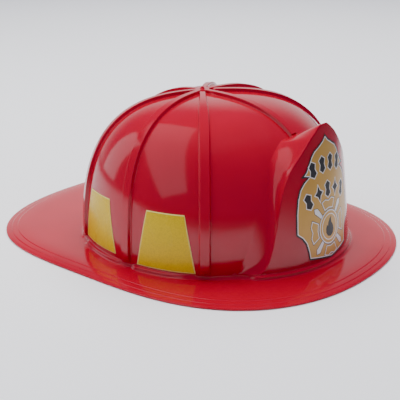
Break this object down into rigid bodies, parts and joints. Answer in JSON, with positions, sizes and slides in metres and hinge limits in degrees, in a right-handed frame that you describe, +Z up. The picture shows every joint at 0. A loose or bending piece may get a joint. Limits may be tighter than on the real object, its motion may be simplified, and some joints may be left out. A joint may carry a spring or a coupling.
{
  "type": "toy firefighter helmet",
  "caption": "Costume firefighter helmet: ribbed red dome, wide brim, raised shield front plate, reflective side panels and an adjustable inner head harness.",
  "frame": {"origin": "under the middle of the brim, on the plane that the brim rests on", "axes": "+X forward to the front plate, +Y the wearer's left, +Z up"},
  "size_m": [0.375, 0.308, 0.139],
  "materials": {
    "shell_red": "glossy injection-moulded red plastic",
    "badge_gold": "printed gold vinyl sticker with a semi-gloss laminate",
    "sticker_yellow": "yellow reflective vinyl sticker",
    "band_black": "black polyethylene strip with a fine moulded grain",
    "hanger_black": "black moulded nylon",
    "stud_black": "black moulded nylon, slightly polished heads",
    "strap_web": "black woven webbing",
    "pad_foam": "charcoal brushed foam-backed fabric"
  },
  "bodies": {
    "shell": {"badge_sticker": "badge_gold", "band_stud_front_left": "stud_black", "band_stud_front_right": "stud_black", "band_stud_rear_left": "stud_black", "band_stud_rear_right": "stud_black", "brow_pad": "pad_foam", "crown_button": "stud_black", "crown_button_cap": "stud_black", "crown_strap_lower": "strap_web", "crown_strap_upper": "strap_web", "hanger_front_left": "hanger_black", "hanger_front_right": "hanger_black", "hanger_rear_left": "hanger_black", "hanger_rear_right": "hanger_black", "headband": "band_black", "helmet_shell": "shell_red", "side_sticker_mid_left": "sticker_yellow", "side_sticker_mid_right": "sticker_yellow", "side_sticker_rear_left": "sticker_yellow", "side_sticker_rear_right": "sticker_yellow"},
    "nape": {"nape_strap": "band_black", "size_peg_left": "stud_black", "size_peg_right": "stud_black"}
  },
  "joints": [
    {"name": "nape_strap_slide", "type": "slide", "parent": "shell", "child": "nape", "axis": [-1, 0, 0], "range_m": [-0.013, 0.016]}
  ]
}
